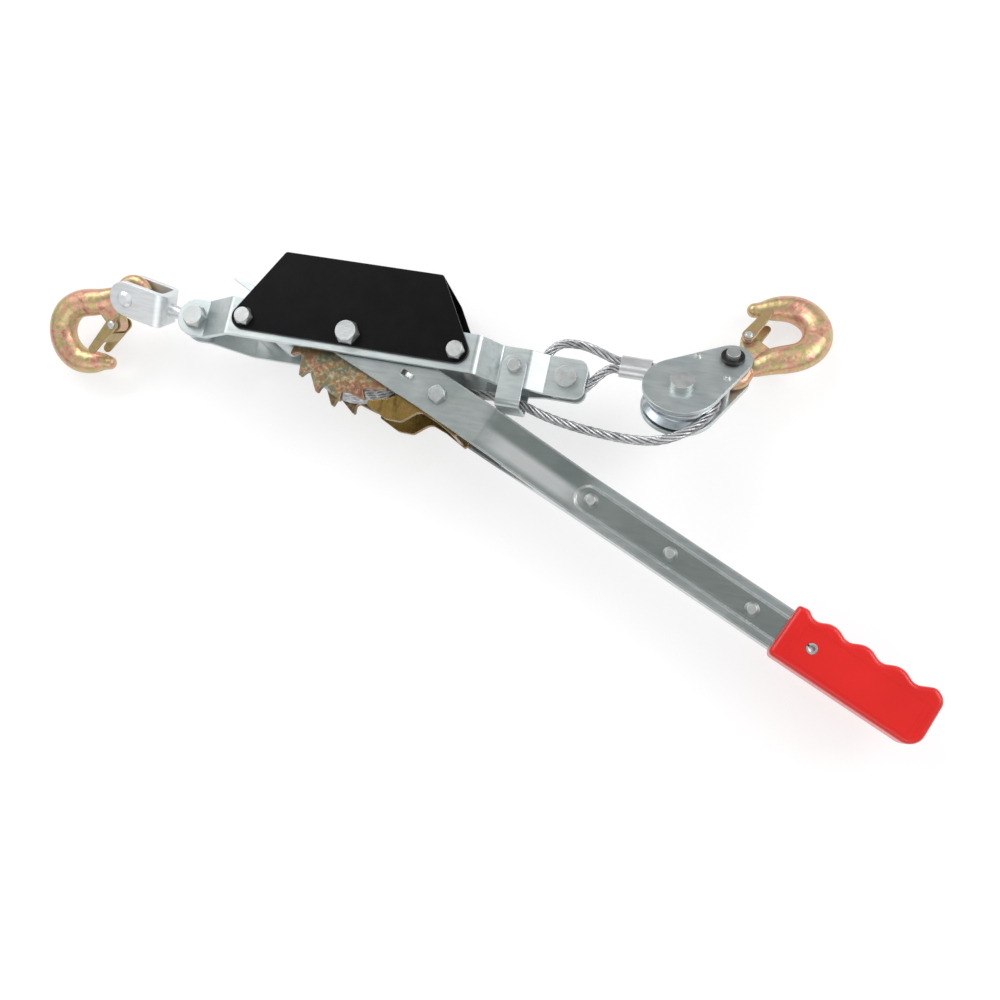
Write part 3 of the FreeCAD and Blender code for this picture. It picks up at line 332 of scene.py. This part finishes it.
def onHandle(nodes):
    # place along and across the handle
    local = nodes.add("ShaderNodeSeparateXYZ")
    turnedPlace = nodes.add("ShaderNodeVectorRotate", rotation_type="Z_AXIS")
    turnedPlace.inputs["Angle"].default_value = math.radians(-handle["angle"])
    nodes.link(nodes.place, turnedPlace.inputs["Vector"])
    nodes.link(turnedPlace.outputs[0], local.inputs[0])
    return local.outputs["X"], local.outputs["Y"]


def softSpan(nodes, value, low, high, soft):
    # 1 between low and high, fading to 0 over soft outside them
    rise = nodes.add("ShaderNodeMapRange", interpolation_type="SMOOTHSTEP")
    rise.inputs["From Min"].default_value = low - soft
    rise.inputs["From Max"].default_value = low
    nodes.link(value, rise.inputs["Value"])
    fall = nodes.add("ShaderNodeMapRange", interpolation_type="SMOOTHSTEP")
    fall.inputs["From Min"].default_value = high
    fall.inputs["From Max"].default_value = high + soft
    fall.inputs["To Min"].default_value = 1.0
    fall.inputs["To Max"].default_value = 0.0
    nodes.link(value, fall.inputs["Value"])
    return nodes.math("MULTIPLY", rise.outputs[0], fall.outputs[0])


def paintHandleShadeAndGlare(nodes, color):
    # painted shade darkens the pressed panel and one side of the bend before it, and a painted
    # reflection lightens the bend's other side
    along, across = onHandle(nodes)
    for area in handleShadeAndGlare:
        inside = nodes.math("MULTIPLY", softSpan(nodes, along, *area["along"]),
                            softSpan(nodes, across, *area["across"]))
        color = nodes.mix(nodes.math("MULTIPLY", inside, area["share"]), color, area["color"])
    return color


def handleRibs(nodes):
    # row of fine pressed marks along the lower edge of the handle's panel
    along, across = onHandle(nodes)
    offRow = nodes.math("ABSOLUTE", nodes.math("SUBTRACT", across, handle["ribY"]), 0.0)
    inRow = nodes.math("LESS_THAN", offRow, handle["ribWidth"])
    inSpan = nodes.math("MULTIPLY", nodes.math("GREATER_THAN", along, handle["ribStart"]),
                        nodes.math("LESS_THAN", along, handle["ribEnd"]))
    wave = nodes.math("SINE", nodes.math("MULTIPLY", along, 2 * math.pi / handle["ribPitch"]), 0.0)
    marks = nodes.math("MULTIPLY", nodes.math("MULTIPLY", inRow, inSpan), wave)
    return nodes.math("MULTIPLY", marks, handle["ribHeight"])


plateZinc = zinc("plateZinc", (0.50, 0.55, 0.55), (0.64, 0.69, 0.69))
# the handle's zinc carries painted shade and a painted reflection from its tone function
handleZinc = zinc("handleZinc", (0.40, 0.45, 0.44), (0.54, 0.59, 0.58), (10, 80, 80),
                  (0, 0, -handle["angle"]), (0.16, 0.28), 0.0018, height=handleRibs, tone=paintHandleShadeAndGlare)
yokeZinc = zinc("yokeZinc", (0.70, 0.73, 0.74), (0.84, 0.86, 0.87), rough=(0.34, 0.5))
boltZinc = zinc("boltZinc", (0.42, 0.44, 0.43), (0.60, 0.62, 0.61), (60, 60, 60), rough=(0.30, 0.48),
                edge=0.0005, grain=0.00010)
sheaveZinc = zinc("sheaveZinc", (0.48, 0.55, 0.60), (0.74, 0.79, 0.82), (60, 60, 60),
                  rough=(0.14, 0.26))
springSteel = zinc("springSteel", (0.34, 0.35, 0.35), (0.54, 0.55, 0.55), (60, 60, 60),
                   rough=(0.2, 0.36))
forgedGold = yellowZinc("forgedGold", forgedTints)
ratchetGold = yellowZinc("ratchetGold", ratchetTints, 340.0, 0.00012, (0.34, 0.5))
latchGold = yellowZinc("latchGold", latchTints, 420.0, 0.00008, (0.26, 0.4), 0.0005, 0.12)
pawlGold = yellowZinc("pawlGold", pawlTints, 380.0, 0.00006, (0.22, 0.34), 0.0008, 0.06)


def makeCoverBlack():
    nodes = Nodes("coverBlack")
    mottle = nodes.ramp(nodes.noise(90.0, 4.0),
                        [(0.3, (0.0015, 0.0015, 0.0015)), (0.7, (0.004, 0.004, 0.004))])
    edgeMask, roundNormal = nodes.edges(0.0007)
    worn = nodes.mix(nodes.math("MULTIPLY", edgeMask, 0.35), mottle, (0.32, 0.33, 0.34))
    dust = nodes.ramp(nodes.noise(1500.0, 2.0, 0.8), [(0.74, (0, 0, 0)), (0.80, (0.12, 0.12, 0.12))])
    color = nodes.mix(dust, worn, (0.25, 0.25, 0.25))
    nodes.shader.inputs["Specular IOR Level"].default_value = 0.10
    return nodes.finish(color, 0.42, 0.0, nodes.noise(1100.0, 3.0, 0.6), 0.00006, roundNormal)


def makeGripRed():
    nodes = Nodes("gripRed")
    tone = nodes.ramp(nodes.noise(26.0, 3.0), [(0.3, (0.62, 0.005, 0.003)), (0.7, (0.70, 0.009, 0.005))])
    edgeMask, roundNormal = nodes.edges(0.0012)
    worn = nodes.mix(nodes.math("MULTIPLY", edgeMask, 0.25), tone, (0.85, 0.07, 0.04))
    # a thin raised border runs round the grip's panel
    reaches = []
    for value, (middle, half) in zip(onHandle(nodes), (gripPanel["along"], gripPanel["across"])):
        off = nodes.math("ABSOLUTE", nodes.math("SUBTRACT", value, middle), 0.0)
        reaches.append(nodes.math("DIVIDE", off, half))
    reach = nodes.math("MAXIMUM", *reaches)
    border = nodes.math("MULTIPLY", nodes.math("GREATER_THAN", reach, gripPanel["border"][0]),
                        nodes.math("LESS_THAN", reach, gripPanel["border"][1]))
    relief = nodes.math("ADD", nodes.math("MULTIPLY", nodes.noise(700.0, 3.0), 0.12), border)
    return nodes.finish(worn, 0.30, 0.0, relief, 0.00016, roundNormal, 0.1)


def makeRingBlack():
    nodes = Nodes("ringBlack")
    tone = nodes.ramp(nodes.noise(300.0), [(0.3, (0.008, 0.008, 0.008)), (0.7, (0.02, 0.02, 0.02))])
    edgeMask, roundNormal = nodes.edges(0.0004)
    worn = nodes.mix(nodes.math("MULTIPLY", edgeMask, 0.4), tone, (0.3, 0.3, 0.3))
    return nodes.finish(worn, 0.35, 0.3, nodes.noise(900.0), 0.00006, roundNormal)


def makeRopeWire():
    nodes = Nodes("ropeWire")
    tone = nodes.ramp(nodes.noise(240.0, 4.0, 0.6),
                      [(0.3, (0.36, 0.37, 0.38)), (0.65, (0.66, 0.67, 0.68))])
    grime = nodes.ramp(nodes.noise(120.0, 4.0, 0.7), [(0.34, (0.5, 0.5, 0.5)), (0.5, (0, 0, 0))])
    color = nodes.mix(grime, tone, (0.22, 0.21, 0.20))
    return nodes.finish(color, 0.34, 0.85, nodes.noise(1600.0, 2.0), 0.00005)


def makeFloor():
    nodes = Nodes("floorPale")
    tone = studio["floorTone"]
    cloud = nodes.ramp(nodes.noise(3.0, 2.0), [(0.3, (tone * 0.98,) * 3), (0.7, (tone,) * 3)])
    nodes.shader.inputs["Emission Color"].default_value = (1.0, 1.0, 1.0, 1.0)
    nodes.shader.inputs["Emission Strength"].default_value = studio["floorGlow"]
    return nodes.finish(cloud, 0.9, 0.0)


coverBlack = makeCoverBlack()
gripRed = makeGripRed()
ringBlack = makeRingBlack()
ropeWire = makeRopeWire()
ferruleAlloy = zinc("ferruleAlloy", (0.60, 0.61, 0.62), (0.78, 0.79, 0.80), (16, 120, 120),
                    rough=(0.3, 0.48), grain=0.00010)
floor.data.materials.append(makeFloor())

looks = {
    plateZinc: ("front_side_plate", "rear_side_plate", "rope_guide", "front_block_plate",
                "rear_block_plate", "holding_pawl"),
    handleZinc: ("front_handle_strip", "rear_handle_strip"),
    yokeZinc: ("yoke", "swivel_stud", "yoke_pin"),
    sheaveZinc: ("sheave", "drum_core"),
    forgedGold: ("frame_hook", "block_hook"),
    ratchetGold: ("front_ratchet", "rear_ratchet"),
    latchGold: ("frame_hook_latch", "block_hook_latch"),
    pawlGold: ("drive_pawl",),
    coverBlack: ("cover",),
    gripRed: ("grip",),
    ringBlack: ("retaining_ring",),
    ferruleAlloy: ("ferrule",),
    springSteel: ("holding_pawl_spring", "drive_pawl_spring", "frame_latch_spring",
                  "block_latch_spring"),
    ropeWire: ("wire_rope", "rope_pack"),
}
painted = {}
for material, names in looks.items():
    for name in names:
        painted[name] = material
for name, node in frame["nodes"].items():
    node.data.materials.clear()
    node.data.materials.append(painted.get(name, boltZinc))
print("materials made")

ropeSize = {
    "diameter": 0.0055,
    "strands": 6,
    "strandRadius": 0.00094,
    "strandReach": 0.00178,  # from the rope's middle to a strand's middle
    "lay": 0.034,  # length of one turn of the strands
    "wires": 6,
    "wireValley": 0.80,  # strand radius between two wires, as a share
    "wireLay": 0.012,
    "step": 0.0013,
}
sheaveMiddle = (0.1935, -0.001, 0.0412)
blockTurn = math.radians(-31.0)  # about +X
blockPlace = Matrix.Translation(sheaveMiddle) @ Matrix.Rotation(blockTurn, 4, "X")


def inBlock(x, y):
    return blockPlace @ Vector((x, y, 0.0))


ropeRoute = [
    Vector((0.0295, -0.0205, 0.0332)),
    Vector((0.0915, -0.0136, 0.0332)),
    Vector((0.1235, -0.0266, 0.0386)),
    Vector((0.1780, -0.0350, 0.0579)),
    inBlock(0.0060, -0.0300),
    inBlock(0.0205, -0.0078),
    inBlock(0.0200, 0.0078),
    inBlock(0.0096, 0.0193),
    inBlock(-0.0070, 0.0206),
    inBlock(-0.0220, 0.0202),
    inBlock(-0.0390, 0.0202),
    Vector((0.1400, 0.0205, 0.0345)),
    Vector((0.1300, 0.0228, 0.0328)),
    Vector((0.1170, 0.0212, 0.0332)),
    Vector((0.1090, 0.0060, 0.0332)),
    Vector((0.1180, -0.0103, 0.0332)),
    Vector((0.1360, -0.0075, 0.0332)),
    inBlock(-0.0450, 0.0144),
    inBlock(-0.0350, 0.0144),
    inBlock(-0.0192, 0.0144),
]
routeData = bpy.data.curves.new("ropeRoute", "CURVE")
routeData.dimensions = "3D"
routeData.resolution_u = 32
spline = routeData.splines.new("NURBS")
spline.points.add(len(ropeRoute) - 1)
for point, place in zip(spline.points, ropeRoute):
    point.co = (*place, 1.0)
spline.order_u = 3
spline.use_endpoint_u = True
routeObject = bpy.data.objects.new("ropeRoute", routeData)
bpy.context.collection.objects.link(routeObject)
routeMesh = bpy.data.meshes.new_from_object(routeObject)
routePoints = [vertex.co.copy() for vertex in routeMesh.vertices]
bpy.data.objects.remove(routeObject)


def evenPoints(points, step):
    # points spaced evenly along a line of points
    total = sum((b - a).length for a, b in zip(points, points[1:]))
    count = max(2, round(total / step))
    spaced = [points[0].copy()]
    walked = 0.0
    target = total / count
    for a, b in zip(points, points[1:]):
        run = (b - a).length
        while target <= walked + run + 1e-9 and len(spaced) <= count:
            spaced.append(a.lerp(b, (target - walked) / run))
            target += total / count
        walked += run
    return spaced, total


def strandCurves(points, step, size, closed, name):
    # one mesh of twisted strands that follow the points, each strand of twisted wires
    profileData = bpy.data.curves.new(name + "Profile", "CURVE")
    profileData.dimensions = "2D"
    lobes = profileData.splines.new("POLY")
    lobes.points.add(2 * size["wires"] - 1)
    for index, point in enumerate(lobes.points):
        angle = -math.pi * index / size["wires"]
        radius = size["strandRadius"] * (1.0 if index % 2 == 0 else size["wireValley"])
        point.co = (radius * math.cos(angle), radius * math.sin(angle), 0.0, 1.0)
    lobes.use_cyclic_u = True
    profile = bpy.data.objects.new(name + "Profile", profileData)
    bpy.context.collection.objects.link(profile)
    strandData = bpy.data.curves.new(name, "CURVE")
    strandData.dimensions = "3D"
    strandData.bevel_mode = "OBJECT"
    strandData.bevel_object = profile
    strandData.use_fill_caps = True
    across = (points[1] - points[0]).orthogonal().normalized()
    frames = []
    for index, place in enumerate(points):
        before = points[index - 1] if index or closed else points[0]
        last = index + 1 == len(points) and not closed
        after = points[-1] if last else points[(index + 1) % len(points)]
        along = (after - before).normalized()
        across = (across - along * across.dot(along)).normalized()
        frames.append((place, across.copy(), along.cross(across)))
    turns = len(points) * step / size["lay"]
    if closed:
        turns = round(turns)
    for strand in range(size["strands"]):
        line = strandData.splines.new("POLY")
        line.points.add(len(points) - 1)
        for index, (place, side, up) in enumerate(frames):
            angle = 2 * math.pi * (strand / size["strands"] + turns * index / len(points))
            center = place + (side * math.cos(angle) + up * math.sin(angle)) * size["strandReach"]
            line.points[index].co = (*center, 1.0)
            line.points[index].tilt = -2 * math.pi * index * step / size["wireLay"]
        line.use_cyclic_u = closed
    strands = bpy.data.objects.new(name, strandData)
    bpy.context.collection.objects.link(strands)
    bpy.ops.object.select_all(action="DESELECT")
    strands.select_set(True)
    bpy.context.view_layer.objects.active = strands
    bpy.ops.object.convert(target="MESH")
    bpy.ops.object.shade_smooth()
    bpy.data.objects.remove(profile)
    strands.data.materials.append(ropeWire)
    return strands


ropePoints, ropeLength = evenPoints(routePoints, ropeSize["step"])
wireRope = strandCurves(ropePoints, ropeSize["step"], ropeSize, False, "wireRope")
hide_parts("wire_rope")
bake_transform(wireRope)
print("wire rope", round(ropeLength, 4), len(wireRope.data.polygons))

coilSize = {
    "rings": 5,
    "radius": 0.0300,
    "pitch": 0.0052,
    "inner": 0.0285,
    "core": 0.0122,
    "middle": 0.0332,
    "segments": 150,
    "sleeveSides": 96,
}


def makeCoils():
    # outer layer of rope turns on the drum, over a plain inner sleeve
    turns = []
    for ring in range(coilSize["rings"]):
        height = coilSize["middle"] + (ring - (coilSize["rings"] - 1) / 2) * coilSize["pitch"]
        circle = []
        for index in range(coilSize["segments"]):
            angle = 2 * math.pi * index / coilSize["segments"]
            circle.append(Vector((coilSize["radius"] * math.cos(angle),
                                  coilSize["radius"] * math.sin(angle), height)))
        step = 2 * math.pi * coilSize["radius"] / coilSize["segments"]
        turns.append(strandCurves(circle, step, ropeSize, True, "ropeTurn%d" % ring))
    bpy.ops.object.select_all(action="DESELECT")
    bpy.ops.mesh.primitive_cylinder_add(vertices=coilSize["sleeveSides"], radius=coilSize["inner"],
                                        depth=coilSize["pitch"] * coilSize["rings"],
                                        location=(0.0, 0.0, coilSize["middle"]))
    sleeve = bpy.context.object
    bpy.ops.object.transform_apply(location=True, rotation=True, scale=True)
    # its two ends are inset and joined through, which leaves the hole for the drum's core
    bpy.ops.object.mode_set(mode="EDIT")
    bpy.ops.mesh.select_all(action="DESELECT")
    bpy.ops.object.mode_set(mode="OBJECT")
    for face in sleeve.data.polygons:
        face.select = abs(face.normal.z) > 0.9
    bpy.ops.object.mode_set(mode="EDIT")
    bpy.ops.mesh.inset(thickness=coilSize["inner"] - coilSize["core"])
    bpy.ops.mesh.bridge_edge_loops()
    bpy.ops.mesh.select_all(action="SELECT")
    bpy.ops.mesh.normals_make_consistent(inside=False)
    bpy.ops.object.mode_set(mode="OBJECT")
    sleeve.data.materials.append(ropeWire)
    bpy.ops.object.select_all(action="DESELECT")
    for turn in turns:
        turn.select_set(True)
    sleeve.select_set(True)
    bpy.context.view_layer.objects.active = turns[0]
    bpy.ops.object.join()
    turns[0].name = "ropeCoils"
    return turns[0]


ropeCoils = makeCoils()
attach(ropeCoils, "drum")
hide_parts("rope_pack")
print("rope coils", len(ropeCoils.data.polygons))

jointAxes = {joint["name"]: joint["axis"] for joint in frame["joints"]}
springSizes = {
    "holding_pawl_spring": {"body": "frame", "axis": (0, 0, 1), "radius": 0.0044,
                            "length": 0.0046, "wireRadius": 0.00055, "coils": 4},
    "drive_pawl_spring": {"body": "handle", "axis": (0, 0, 1), "radius": 0.0044,
                          "length": 0.0069, "wireRadius": 0.00055, "coils": 6},
    "frame_latch_spring": {"body": "frame_hook", "axis": jointAxes["frame_latch_pivot"],
                           "radius": 0.0026, "length": 0.0029, "wireRadius": 0.00045, "coils": 3},
    "block_latch_spring": {"body": "block_hook", "axis": jointAxes["block_latch_pivot"],
                           "radius": 0.0026, "length": 0.0029, "wireRadius": 0.00045, "coils": 3},
}


def makeSpring(node, size):
    # round-wire coil spring in the place of a CAD node's rings
    low, high = (Vector(corner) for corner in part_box(node))
    center = (low + high) / 2
    axis = Vector(size["axis"]).normalized()
    length = size["length"] - 2 * size["wireRadius"]
    side = axis.orthogonal().normalized()
    up = axis.cross(side)
    springData = bpy.data.curves.new(node + "Coil", "CURVE")
    springData.dimensions = "3D"
    springData.bevel_depth = size["wireRadius"]
    springData.bevel_resolution = 3
    springData.use_fill_caps = True
    line = springData.splines.new("POLY")
    count = size["coils"] * 32
    line.points.add(count)
    for index in range(count + 1):
        part = index / count
        angle = 2 * math.pi * size["coils"] * part
        place = center + axis * (part - 0.5) * length
        place += (side * math.cos(angle) + up * math.sin(angle)) * size["radius"]
        line.points[index].co = (*place, 1.0)
    coil = bpy.data.objects.new(node.replace("_", ".") + ".coil", springData)
    bpy.context.collection.objects.link(coil)
    bpy.ops.object.select_all(action="DESELECT")
    coil.select_set(True)
    bpy.context.view_layer.objects.active = coil
    bpy.ops.object.convert(target="MESH")
    bpy.ops.object.shade_smooth()
    coil.data.materials.append(springSteel)
    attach(coil, size["body"])
    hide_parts(node)


for node, size in springSizes.items():
    makeSpring(node, size)
print("springs made")
